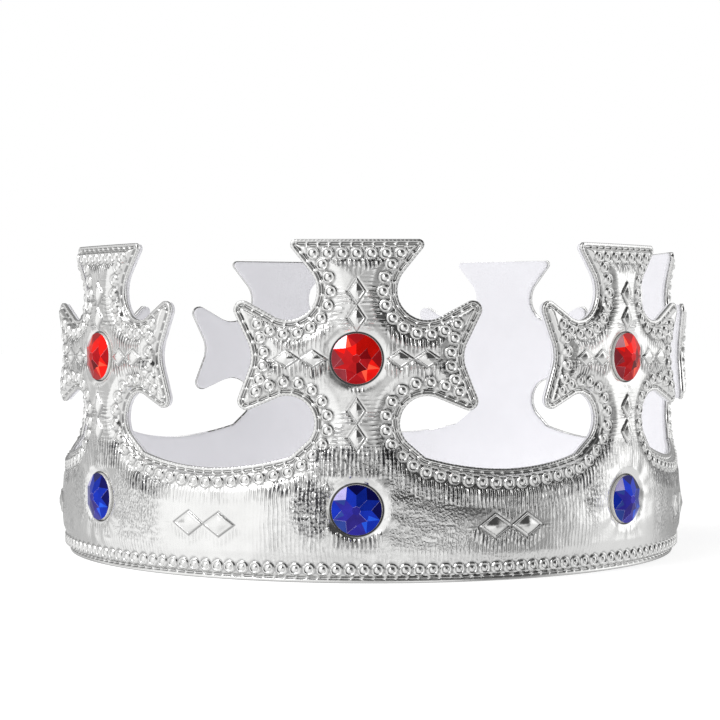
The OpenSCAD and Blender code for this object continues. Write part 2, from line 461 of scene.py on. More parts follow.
def diamond_points(row):
    """Points along the ridges, rims and feet of a diamond."""
    cx, cz, hw, hh = row
    tips = np.array([[hw, 0], [0, hh], [-hw, 0], [0, -hh]])
    out = [np.array([[0.0, 0.0]])]
    for k in range(4):
        a, b = tips[k], tips[(k + 1) % 4]
        n = max(4, int(round(norm(b - a) / 0.3)))
        t = np.linspace(0, 1, n + 1)[:-1, None]
        for share in (0.8, 0.86, 0.92, 0.98, 1.05, 1.2):
            out.append((a + (b - a) * t) * share)
        for share in (0.2, 0.4, 0.6):
            m = max(2, int(round(n * share)))
            t = np.linspace(0, 1, m + 1)[:-1, None]
            out.append((a + (b - a) * t) * share)
        out.append(a * np.arange(0.1, 0.8, 0.1)[:, None])
    return concatenate(out) + [cx, cz]


def thin(points, apart, fixed):
    """Drops points that lie too near to an earlier or a fixed one."""
    held = {}
    out = []
    for p in fixed:
        held.setdefault((int(p[0] // apart), int(p[1] // apart)), []).append(p)
    for p in points:
        i, j = int(p[0] // apart), int(p[1] // apart)
        cells = [(a, b) for a in (i - 1, i, i + 1) for b in (j - 1, j, j + 1)]
        near = [q for cell in cells for q in held.get(cell, ())]
        if all((p[0] - q[0]) ** 2 + (p[1] - q[1]) ** 2 >= apart ** 2 for q in near):
            held.setdefault((i, j), []).append(p)
            out.append(p)
    return np.array(out).reshape(-1, 2)


def half_pattern(edges, beads):
    """Flat points and triangles of one half of a unit, in the sheet's plane."""
    top = half_outline(EDGE_STEP)
    normals = inwards(top)
    bottom = resample(np.array([[0.0, 0.0], [HALF_BAY, 0.0]]), BOTTOM_STEP)
    rows = []
    for inset in EDGE_ROWS:
        row = top + normals * inset
        rows.append(row[edges.measure(row)[0] > inset - 0.04])
        rows.append(bottom + [0, inset])
    for c in both_sides(beads):
        rows.append(np.array([c]))
        rows += [ring_points(c, r, BEAD_STEP) for r in BEAD_RINGS]
    rows += [diamond_points(row) for row in DIAMONDS]
    for c in STONES:
        rows += [ring_points(c, r, 2 * pi * r / SEAT_STEPS) for r in SEAT_RINGS]
        rows.append(ring_points(c, 4.0, 2.0))
    form = concatenate(rows)
    form = form[(form[:, 0] > -SNAP) & (form[:, 0] < HALF_BAY + SNAP)]
    form[np.abs(form[:, 0]) < SNAP, 0] = 0
    form[np.abs(form[:, 0] - HALF_BAY) < SNAP, 0] = HALF_BAY
    form = thin(form, FORM_APART, concatenate([top, bottom]))
    # Plain points on a hexagonal grid fill what the forms leave
    start = EDGE_ROWS[-1]
    across = np.arange(0.0, HALF_BAY + GRID, GRID)
    up = np.arange(start, CROSS_H - 2, GRID * 0.866)
    grid = concatenate([
        column_stack([across + (GRID / 2 if k % 2 else 0), np.full(len(across), z)])
        for k, z in enumerate(up)])
    middle = column_stack([np.zeros(len(up)), up])
    border = column_stack([
        np.full(BORDER_POINTS, HALF_BAY), np.linspace(start, BAND_H - start, BORDER_POINTS)])
    grid = concatenate([middle, border, grid])
    grid = grid[grid[:, 0] <= HALF_BAY]
    grid = grid[stone_distance(grid)[0] >= SEAT_FLOOR]
    grid = grid[inside(grid, top)]
    grid = grid[edges.measure(grid)[0] > start + 0.1]
    x = grid[:, 0]
    near_border = (x > 0) & (x < 0.2) | (x > HALF_BAY - 0.2) & (x < HALF_BAY)
    grid = thin(grid[~near_border], GRID_APART, form)
    form = form[inside(form, top)]
    return top, bottom, triangulate(top, bottom, concatenate([form, grid]))


def inside(pts, top):
    """True for points between the middle line, the border and both edges."""
    loop = concatenate([top, [[HALF_BAY, 0], [0, 0]]])
    x, z = pts[:, 0], pts[:, 1]
    hit = np.zeros(len(pts), bool)
    for a, b in zip(loop, np.roll(loop, -1, axis=0)):
        crosses_line = (a[1] > z) != (b[1] > z)
        if not crosses_line.any():
            continue
        at = a[0] + (z - a[1]) / (b[1] - a[1]) * (b[0] - a[0])
        hit ^= crosses_line & (x < at)
    on_border = (np.abs(x) < ON_LINE) & (z > 0) & (z < CROSS_H)
    on_cut = (np.abs(x - HALF_BAY) < ON_LINE) & (z > 0) & (z < BAND_H)
    return hit | on_border | on_cut


def triangulate(top, bottom, inner):
    """Triangles of the half whose border runs along top, cut line, bottom and
    middle line, through every inner point that lies on those two lines."""
    cut = inner[np.abs(inner[:, 0] - HALF_BAY) < ON_LINE]
    cut = cut[np.argsort(-cut[:, 1])]
    middle = inner[np.abs(inner[:, 0]) < ON_LINE]
    middle = middle[np.argsort(middle[:, 1])]
    rest = inner[(inner[:, 0] > ON_LINE) & (inner[:, 0] < HALF_BAY - ON_LINE)]
    loop = concatenate([top, cut, bottom[::-1], middle])
    pts = concatenate([loop, rest])
    n = len(loop)
    edges_in = [(k, (k + 1) % n) for k in range(n)]
    got = delaunay_2d_cdt([Vector(p) for p in pts], edges_in, [], 1, 1e-5, False)
    verts = np.array([[v[0], v[1]] for v in got[0]])
    faces = np.array([f for f in got[2]], int)
    return verts, faces[inside(verts[faces].mean(1), top)]


def lattice(ix, iz, seed):
    """Unit directions at whole-number places, the same for each run."""
    h = (ix * 374761393 + iz * 668265263 + seed * 974634777) & 0xFFFFFFFF
    h = ((h ^ (h >> 13)) * 1274126177) & 0xFFFFFFFF
    a = (h ^ (h >> 16)) / 4294967296.0 * 2 * pi
    return np.cos(a), np.sin(a)


def noise(x, z, seed):
    """Smooth noise of about -0.7 to 0.7 with a period of about 1."""
    ix, iz = np.floor(x).astype(np.int64), np.floor(z).astype(np.int64)
    fx, fz = x - ix, z - iz
    wx, wz = (f * f * f * (f * (f * 6 - 15) + 10) for f in (fx, fz))
    total = 0
    for ox in (0, 1):
        for oz in (0, 1):
            gx, gz = lattice(ix + ox, iz + oz, seed)
            share = (wx if ox else 1 - wx) * (wz if oz else 1 - wz)
            total = total + share * (gx * (fx - ox) + gz * (fz - oz))
    return total


def stone_distance(pts):
    """Distance to the nearer stone's centre, and its number."""
    d = np.array([norm(pts - np.array(c), axis=1) for c in STONES])
    k = d.argmin(0)
    return d[k, np.arange(len(pts))], k


def diamond_share(pts, soft=0.0):
    """Least share of a diamond's size at which a point lies: 1 on its rim;
    soft rounds its ridges off."""
    q = []
    for cx, cz, hw, hh in DIAMONDS:
        x = np.sqrt((pts[:, 0] - cx) ** 2 + soft ** 2) - soft * 0.6
        z = np.sqrt((pts[:, 1] - cz) ** 2 + soft ** 2) - soft * 0.6
        q.append(x / hw + z / hh)
    return np.min(q, axis=0)


def dashes(pts):
    """1 where a welded dash runs along the edge and 0 in the gaps between."""
    _, t, low = edges.measure(pts)
    pitch = np.where(low > 0, 2 * HALF_BAY / BOTTOM_DASHES, edges.half / round(edges.half / DASH_PITCH))
    phase = np.abs(t / pitch - np.round(t / pitch))
    return 1 - smooth(phase, 0.36, 0.44)


def notches(pts):
    """1 in each of the small knurls that run along the very edge of the top."""
    d, t, low = edges.measure(pts)
    pitch = NOTCH_STEPS * edges.half / round(edges.half / EDGE_STEP)
    wave = 0.5 - 0.5 * np.cos(2 * pi * t / pitch)
    return wave * (1 - low) * (1 - smooth(d, 0.2, 0.55))


def base_height(pts):
    """Height of the embossed surface over the flat rim, without wrinkles."""
    d, _, low = edges.measure(pts)
    fall, border = EDGE_FALL
    h = -fall * (1 - smooth(d, 0, border)) - NOTCH_DEPTH * notches(pts)
    h -= (GROOVE_DEPTH + DASH_DEPTH * dashes(pts)) * within(d, *GROOVE)
    for start, end, further, rise in PAD_RISES:
        h += rise * smooth(d, start, end + further * low)
    h += np.interp(nearest(bead_tree, pts)[1], *BEAD_PROFILE)
    h += np.interp(diamond_share(pts), *DIAMOND_PROFILE)
    h += DIAMOND_RISE * np.clip(1 - diamond_share(pts, RIDGE_R) / DIAMOND_TOP, 0, 1)
    stone_d = stone_distance(pts)[0]
    seat = SEAT_HEIGHT + LIP_RISE * smooth(stone_d, *LIP)
    w = smooth(stone_d, *LIP_FADE)
    return seat * (1 - w) + h * w


def painted_crevice_shade(pts):
    """Painted shade of the foil, from 0 to 1: dark lines painted in its grooves and their dashes, in the
    knurls along the top, round the rings, diamonds and stone seats, and a painted contact shadow along the
    bottom edge.
    """
    d, _, low = edges.measure(pts)
    # Painted shade in the knurls, a painted contact shadow along the bottom edge, then painted shade in the
    # groove and its dashes, round the rings and diamonds, and in the gap round each stone
    shade_amount = 0.35 * notches(pts) + 0.55 * low * (1 - smooth(d, 0.05, 0.4))
    shade_amount += (0.15 + 0.7 * dashes(pts)) * sum(line_at(d, *row) for row in GROOVE_SHADE_LINES)
    for x, rows in ((nearest(bead_tree, pts)[1], BEAD_SHADE_LINES), (diamond_share(pts), DIAMOND_SHADE_LINES)):
        shade_amount += sum(tone * line_at(x, middle, width) for middle, width, tone in rows)
    shade_amount += 1 - smooth(np.abs(stone_distance(pts)[0] - SEAT_SHADE_LINE), 0.12, 0.32)
    return np.clip(shade_amount, 0, 1)


def unit_wrinkles(pts, around, measured):
    """Wrinkles of one unit; around is the place round the whole ring."""
    d, stone_d, stone_k, q = measured
    h = sum(height * noise(around / across, pts[:, 1] / up, seed) for across, up, height, seed in WRINKLES)
    h = h * smooth(d, 5.0, 8.0) * smooth(q, 1.15, 1.9) * smooth(stone_d, 7.6, 9.5)
    ray = pts - np.array(STONES)[stone_k]
    turn = np.arctan2(ray[:, 1], ray[:, 0]) * FOLDS / (2 * pi)
    fold = noise(turn + 100 * stone_k + 7.3 * np.round(around / HALF_BAY / 2), stone_d / 14, 3)
    reach = within(stone_d, 7.5, 9.0, 11, 18) * smooth(d, 4.8, 7) * smooth(q, 1.1, 1.6)
    return h + FOLD_HEIGHTS[stone_k] * fold * reach


def placed(s, z, h):
    """Place in the crown's frame of a point of the sheet of the first cross."""
    r = RIM_R + h
    round_xy = np.stack([r * np.sin(s / RIM_R), -r * np.cos(s / RIM_R)])
    r = ARM_R + h
    flat_xy = np.stack([r * np.sin(s / ARM_R), ARM_R - RIM_R - STEP_OUT - r * np.cos(s / ARM_R)])
    w = smooth(z, *BEND)
    xy = round_xy * (1 - w) + flat_xy * w
    return column_stack([xy[0], xy[1], z])


def stretched(s, z, number):
    """Moves the bays of unit number so that they meet their neighbours'."""
    out = s.copy()
    for side, beside_slit in ((1, REAR), (-1, REAR + 1)):
        step = abs(cross_angle(number + side) - cross_angle(number))
        more = RIM_R * radians((step - BAY) / 2)
        if number == beside_slit:
            more -= SLIT / 2
        out += side * more * smooth(s * side, *STRETCH) * (1 - smooth(z, *STRETCH_TOP))
    return out


def turned(points, degrees):
    """Points turned round the ring's axis."""
    a = radians(degrees)
    c, s = cos(a), sin(a)
    return points @ np.array([[c, s, 0], [-s, c, 0], [0, 0, 1]])


def whole(verts, faces):
    """A half pattern with its mirror image, joined along the middle line, and
    for each point the number of its mirror image."""
    off = verts[:, 0] > ON_LINE
    number = np.arange(len(verts))
    number[off] = len(verts) + np.arange(off.sum())
    mirror = concatenate([number, np.flatnonzero(off)])
    pts = concatenate([verts, verts[off] * [-1, 1]])
    return pts, concatenate([faces, number[faces][:, ::-1]]), mirror


def border_edges(faces):
    """Directed edges that only one triangle has."""
    e = concatenate([faces[:, [0, 1]], faces[:, [1, 2]], faces[:, [2, 0]]])
    have = {(a, b) for a, b in e}
    return [(a, b) for a, b in have if (b, a) not in have]


def vertex_normals(points, faces):
    """Sum of the normals of the triangles at each point, weighed by area."""
    n = np.zeros_like(points)
    a, b, c = (points[faces[:, k]] for k in (0, 1, 2))
    f = np.cross(b - a, c - a)
    for k in (0, 1, 2):
        np.add.at(n, faces[:, k], f)
    return n


def doubled(values, verts):
    """Values of a half pattern's points and of those of its mirror image."""
    return concatenate([values, values[verts[:, 0] > ON_LINE]])


def new_object(name, data):
    """An object with this data, put into the scene."""
    obj = bpy.data.objects.new(name, data)
    bpy.context.scene.collection.objects.link(obj)
    return obj


def make_mesh(name, points, faces, materials, face_material=None, normals=None, uv=None, values=None):
    """A mesh object from points in millimetres and lists of corners. It is flat
    shaded where each face has a material of its own."""
    mesh = bpy.data.meshes.new(name)
    mesh.from_pydata((points * MM).tolist(), [], [list(map(int, f)) for f in faces])
    for m in materials:
        mesh.materials.append(m)
    if face_material is not None:
        mesh.polygons.foreach_set("material_index", np.asarray(face_material, np.int32))
    mesh.polygons.foreach_set("use_smooth", np.full(len(mesh.polygons), face_material is None))
    if uv is not None:
        corners = np.zeros(len(mesh.loops), np.int32)
        mesh.loops.foreach_get("vertex_index", corners)
        layer = mesh.uv_layers.new(name="flow")
        layer.data.foreach_set("uv", uv[corners].astype(np.float32).ravel())
    for key, value in (values or {}).items():
        layer = mesh.attributes.new(key, "FLOAT", "POINT")
        layer.data.foreach_set("value", value.astype(np.float32))
    mesh.update()
    if normals is not None:
        unit = normals / np.maximum(norm(normals, axis=1), 1e-12)[:, None]
        mesh.normals_split_custom_set_from_vertices(unit.tolist())
    return new_object(name, mesh)


class Shell:
    """Flat pattern of a sheet with a front, an edge wall and a coarse back."""

    def __init__(self, front, back, front_h, wall_h, back_h):
        fv, ff, fm = whole(*front)
        bv, bf, bm = whole(*back)
        border = [(a, b) for a, b in border_edges(ff) if not self.on_cut(fv[a]) or not self.on_cut(fv[b])]
        used = sorted({a for e in border for a in e})
        wall = {a: len(fv) + k for k, a in enumerate(used)}
        places = {self.key(p): k for k, p in enumerate(bv)}
        base = len(fv) + len(used)
        under = {a: base + places[self.key(fv[a])] for a in used}
        self.pts = concatenate([fv, fv[used], bv])
        self.h = concatenate([
            doubled(front_h, front[0]), np.full(len(used), wall_h), np.full(len(bv), back_h)])
        sides = []
        for a, b in border:
            for top, low in ((lambda k: k, wall.get), (wall.get, under.get)):
                sides.append((top(b), top(a), low(a)))
                sides.append((top(b), low(a), low(b)))
        self.faces = concatenate([ff, np.array(sides), bf[:, ::-1] + base])
        self.front_points = len(fv)
        self.back_start = base
        self.mirror = concatenate([fm, [wall[fm[a]] for a in used], bm + base])

    @staticmethod
    def on_cut(p):
        """True for a point on the line where two units meet."""
        return abs(abs(p[0]) - HALF_BAY) < NEAR_LINE

    @staticmethod
    def key(p):
        """The same for two points in one place."""
        return (round(p[0], 3), round(p[1], 3))


def coarse_back(top, bottom, step):
    """Plain flat triangles of one half, for a side that is out of sight."""
    rise = top[:, 1].max()
    across = np.arange(step, HALF_BAY - 0.4 * step, step)
    up = np.arange(bottom[0, 1] + step, rise - 0.4 * step, step)
    grid = np.array([(x, z) for z in up for x in across])
    grid = grid[inside(grid, top)]
    grid = grid[nearest(tree_of(concatenate([top, bottom])), grid)[1] > 0.5 * step]
    middle = column_stack([np.zeros(len(up)), up])
    side = up[up < BAND_H - 0.6 * step]
    cut = column_stack([np.full(len(side), HALF_BAY), side])
    return triangulate(top, bottom, concatenate([grid, middle, cut]))


def rear_angle():
    """Angle of the middle of the rear bay, where the slit is."""
    return (cross_angle(REAR) + cross_angle(REAR + 1)) / 2


def end_cap(shell, points, side):
    """Points and normals of the face that closes a sheet at the slit."""
    z = shell.pts[:, 1]
    on = np.flatnonzero(np.abs(shell.pts[:, 0] - side * HALF_BAY) < NEAR_LINE)
    on = on[np.argsort(z[on])]
    front = [k for k in on if k < shell.front_points]
    wall = [k for k in on if shell.front_points <= k < shell.back_start]
    back = [k for k in on if k >= shell.back_start]
    loop = [*front, wall[-1], *back[::-1], wall[0]]
    if side > 0:
        loop = loop[::-1]
    a = radians(rear_angle())
    normal = np.array([cos(a), sin(a), 0]) * side
    return points[loop], np.tile(normal, (len(loop), 1))


def build_units(name, shell, height_of, materials, values_of):
    """The seven units of a sheet, whose shading runs on from one to the next."""
    built = []
    for number in range(1, CROSSES + 1):
        here = cross_angle(number)
        signed = here - 360 if here > 180 else here
        s = stretched(shell.pts[:, 0], shell.pts[:, 1], number)
        around = RIM_R * radians(signed) + s
        points = turned(placed(s, shell.pts[:, 1], height_of(around)), here)
        built.append([points, vertex_normals(points, shell.faces), around])
    right = np.flatnonzero(shell.pts[:, 0] > HALF_BAY - NEAR_LINE)
    left = shell.mirror[right]
    for k in range(CROSSES):
        if k + 1 == REAR:
            continue
        a, b = built[k][1], built[(k + 1) % CROSSES][1]
        both = a[right] + b[left]
        a[right] = both
        b[left] = both
    out = []
    for number, (points, normals, around) in enumerate(built, 1):
        faces = shell.faces.tolist()
        values, uv = values_of(around)
        if number in (REAR, REAR + 1):
            cap_points, cap_normals = end_cap(shell, points, 1 if number == REAR else -1)
            n = len(cap_points)
            faces.append(list(range(len(points), len(points) + n)))
            points = concatenate([points, cap_points])
            normals = concatenate([normals, cap_normals])
            uv = concatenate([uv, np.zeros((n, 2))])
            values = {key: concatenate([v, np.zeros(n)]) for key, v in values.items()}
        out.append(make_mesh(f"{name}_{number}", points, faces, materials, None, normals, uv, values))
    return out


def from_weld(pts, marks):
    """Distance from the nearest of the marks along a weld, how upright the way
    to it is, and the share of creases on that side of it."""
    k, far = nearest(tree_of(marks), pts)
    up = pts[:, 1] - marks[k, 1]
    upright = smooth(up ** 2 / np.maximum(far, 0.01) ** 2, 0.3, 0.7)
    return far, upright, np.where(up < 0, 1.0, CREASES_ABOVE)


def crease_strength(pts, side_s, border):
    """How strong the upright, the level and the pebbled fine creases are at
    each folded point; side_s is its place across with its sign. The creases
    run out of the welds, and differ left and right of each stone."""
    x, z = pts[:, 0], pts[:, 1]
    across = np.arange(-30, HALF_BAY + 30, CREASE_STEP)
    low_row = column_stack([across, np.full(len(across), BOTTOM_BEAD_Z)])
    row = both_sides(resample(bead_line, CREASE_STEP), 30)
    row_d, upright, share = from_weld(pts, concatenate([row, low_row]))
    reach = np.where(z < 33, 6.0, 3.9)
    near = smooth(row_d, 1.6, 2.1) * (1 - smooth(row_d - reach, -0.8, 1.2)) * share
    forms = []
    for cx, cz, hw, hh in DIAMONDS:
        tips = np.array([[hw, 0], [0, hh], [-hw, 0], [0, -hh], [hw, 0]]) * 1.08 + [cx, cz]
        forms.append(resample(tips, CREASE_STEP))
    form_d, form_upright, share = from_weld(pts, concatenate(forms))
    form_near = within(form_d, 0.1, 0.4, 2.2, 3.6) * share
    close_left = 1 - smooth(np.hypot((side_s + 11.5) / 7.5, (z - 20) / 10), 0.5, 1.05)
    tall = [near * upright, form_near * form_upright, 0.7 * close_left]
    grain = [close_left]
    for side, limits, heights, tall_share, grain_share in CREASE_ZONES:
        zone = within(side * side_s if side else x, *limits) * within(z, *heights)
        tall.append(tall_share * zone)
        grain.append(grain_share * zone)
    level = np.maximum(near * (1 - upright), form_near * (1 - form_upright)) * 0.5
    grain = np.maximum.reduce(grain) + 0.15 * (1 - smooth(z, 26, 34))
    clear = smooth(border, 2.0, 5.0) * smooth(stone_distance(pts)[0], 7.7, 8.5)
    clear *= smooth(diamond_share(pts), 1.12, 1.3)
    return np.maximum.reduce(tall) * clear, level * clear, grain * clear


def calmed(around, z):
    """Share of its creases that the foil keeps where it lies drawn flat."""
    keep = np.ones(len(z))
    for at, up, reach, reach_up, share in CALM_PLACES:
        far = np.hypot((around - at) / reach, (z - up) / reach_up)
        keep *= share + (1 - share) * smooth(far, 0.7, 1.15)
    return keep


class Nodes:
    """Short ways to add and join the nodes of a material or of the world."""

    def __init__(self, tree):
        self.tree = tree

    def add(self, kind, inputs=None, **settings):
        """A node with these settings and values of its inputs."""
        node = self.tree.nodes.new(kind)
        for key, value in settings.items():
            setattr(node, key, value)
        for key, value in (inputs or {}).items():
            node.inputs[key].default_value = value
        return node

    def join(self, a, out, b, into):
        """Links an output of one node to an input of another."""
        self.tree.links.new(a.outputs[out], b.inputs[into])

    def combine(self, operation, a, out_a, b, out_b):
        """A node that works out one number from two."""
        node = self.add("ShaderNodeMath", operation=operation)
        self.join(a, out_a, node, 0)
        self.join(b, out_b, node, 1)
        return node

    def cloud(self, scale, detail, roughness):
        """Noise that is fixed to the object."""
        node = self.add("ShaderNodeTexNoise", {"Scale": scale, "Detail": detail, "Roughness": roughness})
        self.join(self.add("ShaderNodeTexCoord"), "Object", node, "Vector")
        return node

    def tint(self, cloud, stops):
        """Colour ramp over a noise, from two pairs of place and colour."""
        node = self.add("ShaderNodeValToRGB")
        for e, (at, colour) in zip(node.color_ramp.elements, stops):
            e.position = at
            e.color = (*colour, 1)
        self.join(cloud, "Fac", node, "Fac")
        return node


def new_material(name, inputs):
    """A material, its nodes and its shader, which has these values."""
    m = bpy.data.materials.new(name)
    m.use_nodes = True
    shader = m.node_tree.nodes["Principled BSDF"]
    for key, value in inputs.items():
        shader.inputs[key].default_value = value
    return m, Nodes(m.node_tree), shader


def silver_material():
    """Embossed silver foil: mirror bright, creased across its welds, with painted shade that darkens its
    colour in the crevices and in the valleys of the creases.
    """
    m, nodes, shader = new_material("silver_foil", {"Metallic": 1.0})
    add, join = nodes.add, nodes.join
    flow = add("ShaderNodeUVMap", uv_map="flow")

    def drawn_out(texture, scale):
        turn = add("ShaderNodeMapping", {"Scale": scale})
        join(flow, "UV", turn, "Vector")
        join(turn, "Vector", texture, "Vector")

    normal = None
    # Painted shade of the crevices, carried on the mesh
    shade_amount = add("ShaderNodeAttribute", attribute_name="hollow")
    shade_amount_out = "Fac"
    for kind, scale, ends_scale, height in CREASE_KINDS:
        if kind == "grain":
            crease = add("ShaderNodeTexNoise", {"Scale": 1.3, "Detail": 1.0, "Roughness": 0.5})
        else:
            crease = add(
                "ShaderNodeTexWave", {"Scale": 0.27, "Distortion": 2.4, "Detail": 1.0, "Detail Scale": 0.7},
                wave_type="BANDS", bands_direction="X" if kind == "tall" else "Y")
        drawn_out(crease, scale)
        sharp = add(
            "ShaderNodeMapRange", {"From Min": 0.28, "From Max": 0.74}, interpolation_type="SMOOTHSTEP")
        join(crease, "Fac", sharp, "Value")
        # Each crease starts and ends by itself
        ends = add("ShaderNodeTexNoise", {"Scale": 0.9, "Detail": 0.0})
        drawn_out(ends, ends_scale)
        part = add(
            "ShaderNodeMapRange", {"From Min": 0.36, "From Max": 0.52, "To Min": 0.35, "To Max": 1.0})
        join(ends, "Fac", part, "Value")
        held = add("ShaderNodeAttribute", attribute_name=kind)
        strength = nodes.combine("MULTIPLY", held, "Fac", part, "Result")
        weigh = nodes.combine("MULTIPLY", sharp, "Result", strength, "Value")
        bump = add("ShaderNodeBump", {"Strength": 1.0, "Distance": height})
        join(weigh, "Value", bump, "Height")
        if normal is not None:
            join(normal, "Normal", bump, "Normal")
        # Painted shade in the valleys of this crease, added to the crevices' painted shade
        valley = nodes.combine("SUBTRACT", strength, "Value", weigh, "Value")
        valley_shade_added = add("ShaderNodeMath", {1: VALLEY_PAINTED_SHADE}, operation="MULTIPLY_ADD")
        join(valley, "Value", valley_shade_added, 0)
        join(shade_amount, shade_amount_out, valley_shade_added, 2)
        normal, shade_amount, shade_amount_out = bump, valley_shade_added, "Value"
    fine = add("ShaderNodeBump", {"Strength": 0.5, "Distance": 0.00004})
    join(nodes.cloud(1500.0, 2.0, 0.6), "Fac", fine, "Height")
    join(normal, "Normal", fine, "Normal")
    join(fine, "Normal", shader, "Normal")
    dull = nodes.cloud(90.0, 4.0, 0.6)
    rough = add("ShaderNodeMapRange", {"From Min": 0.3, "From Max": 0.7, "To Min": 0.1, "To Max": 0.2})
    join(dull, "Fac", rough, "Value")
    join(rough, "Result", shader, "Roughness")
    # The foil's colour, darkened where shade is painted
    deep = add("ShaderNodeMix", {"B": PAINTED_SHADE_TONE}, data_type="RGBA")
    join(shade_amount, shade_amount_out, deep, "Factor")
    join(nodes.tint(dull, SILVER_TONES), "Color", deep, "A")
    join(deep, "Result", shader, "Base Color")
    return m


def backing_material(name, tint):
    """Matt pale non-woven sheet."""
    m, nodes, shader = new_material(name, {"Roughness": 0.85, "Sheen Weight": 0.15})
    stops = [(0.3, tuple(c * 0.95 for c in tint)), (0.7, tint)]
    nodes.join(nodes.tint(nodes.cloud(45.0, 3.0, 0.6), stops), "Color", shader, "Base Color")
    bump = nodes.add("ShaderNodeBump", {"Strength": 0.4, "Distance": 0.00008})
    nodes.join(nodes.cloud(1600.0, 4.0, 0.7), "Fac", bump, "Height")
    nodes.join(bump, "Normal", shader, "Normal")
    return m


def facet_material(name, colour, metallic=0.7, roughness=0.12):
    """One tone of a cut stone: a copy of its colour with painted light and shade, which also mirrors the
    room as part metal, glows faintly with painted light, and has faint inner clouds.
    """
    m, nodes, shader = new_material(name, {
        "Metallic": metallic, "Roughness": roughness, "Specular IOR Level": 0.15,
        # Faint painted glow in the tone's own colour
        "Emission Color": (*colour, 1), "Emission Strength": 0.22})
    stops = [(0.35, tuple(c * 0.75 for c in colour)), (0.65, colour)]
    nodes.join(nodes.tint(nodes.cloud(380.0, 2.0, 0.5), stops), "Color", shader, "Base Color")
    return m


def stone_shape():
    """Points of a cut stone that faces +Z, its faces, and for each face its tone of painted light and
    shade, or the place of that tone."""
    r = STONE_D / 2
    star_r, table_r, heart_r = STAR_SHARE * r, TABLE_SHARE * r, HEART_SHARE * r
    half = pi / FACETS
    apex = STONE_WALL + STONE_CROWN * r / (r - table_r)
    slope = (apex - STONE_WALL) / r
    notch_z = apex - slope * star_r * cos(half)
    fall = (notch_z - STONE_WALL) / (r * cos(half) - star_r)
    pts, faces, tones = [], [], []

    def point(radius, angle, z):
        pts.append((radius * cos(angle), radius * sin(angle), z))
        return len(pts) - 1

    def ring(radius, z, start=0.0):
        return [point(radius, start + 2 * half * k, z) for k in range(FACETS)]

    n = FACETS * STONE_STEPS
    rim, low, foot = [], [], []
    for k in range(n):
        a = half + 2 * pi * k / n
        off = (a - half) % (2 * half) - half
        z = STONE_WALL + fall * (r * cos(half) - r * cos(off))
        rim.append(point(r, a, z))
        low.append(point(r, a, STONE_WALL * FOIL_SHARE))
        foot.append(point(r, a, 0))
    notch = ring(star_r, notch_z)
    table = ring(table_r / cos(half), apex - slope * table_r)
    # A point inside each kite, where the painted inner reflections of its parts meet
    heart = ring(heart_r, apex - slope * heart_r, half)
    for k in range(FACETS):
        tip, nxt = rim[k * STONE_STEPS], (k + 1) % FACETS
        arc = [rim[(k * STONE_STEPS + j) % n] for j in range(STONE_STEPS + 1)]
        faces += [[notch[k], tip, heart[k]], [tip, notch[nxt], heart[k]]]
        faces += [[notch[k], heart[k], notch[nxt], table[nxt], table[k]], [notch[nxt], *arc]]
        tones += [(k, 1), (k, 2), (k, 3), (nxt, 0)]
    faces.append(table)
    tones.append("mid")
    for k in range(n):
        j = (k + 1) % n
        faces += [[low[k], low[j], rim[j], rim[k]], [foot[k], foot[j], low[j], low[k]]]
        tones += ["dark", "foil"]
    faces.append(foot[::-1])
    tones.append("foil")
    return np.array(pts), faces, tones


def build_stone(name, number, height, pad_r, slots, order, places):
    """A cut stone in its seat on cross number, with some of its edges bevelled."""
    pts, faces, tones = stone_shape()
    seated = column_stack([pts[:, 0], -(pad_r - SEAT_DEPTH + STONE_GAP) - pts[:, 2], height + pts[:, 1]])
    tones = [t if isinstance(t, str) else places[t[0]][t[1]] for t in tones]
    index = [order.index(t) for t in tones]
    piece = make_mesh(name, turned(seated, cross_angle(number)), faces, slots, index)
    cut = bmesh.new()
    cut.from_mesh(piece.data)
    crown = [e for e in cut.edges if len(e.link_faces) == 2 and e.calc_face_angle(0) > radians(8)]
    crown = [e for k, e in enumerate(crown) if EDGE_LINES[k % len(EDGE_LINES)]]
    bmesh.ops.bevel(cut, geom=crown, offset=EDGE_WIDTH * MM, segments=1, affect="EDGES", profile=0.5)
    cut.to_mesh(piece.data)
    cut.free()
    return piece


def patch_points():
    """The patch with round corners and soft edges, as two faces of a grid."""
    nx, nz = PATCH_GRID
    u, v = (a.ravel() for a in np.meshgrid(np.linspace(-1, 1, nx + 1), np.linspace(-1, 1, nz + 1)))
    k = 1 - PATCH_CORNER * u ** 8 * v ** 8
    edge = np.minimum((1 - np.abs(u)) * PATCH_W / 2, (1 - np.abs(v)) * PATCH_H / 2)
    soft = np.sqrt(1 - (1 - np.minimum(edge / PATCH_SOFT, 1)) ** 2)
    out = PATCH_T / 2 * (0.25 + 0.75 * soft)
    sides = [column_stack([u * PATCH_W / 2 * k, v * PATCH_H / 2 * k, side * out]) for side in (1, -1)]
    faces = []
    step = nx + 1
    size = step * (nz + 1)
    for j in range(nz):
        for i in range(nx):
            a = j * step + i
            b = a + size
            faces.append([a, a + 1, a + step + 1, a + step])
            faces.append([b, b + step, b + step + 1, b + 1])
    rim = [*range(step)] + [j * step + nx for j in range(1, nz + 1)]
    rim += [nz * step + i for i in range(nx - 1, -1, -1)] + [j * step for j in range(nz - 1, 0, -1)]
    for a, b in zip(rim, rim[1:] + rim[:1]):
        faces.append([b, a, a + size, b + size])
    return concatenate(sides), faces


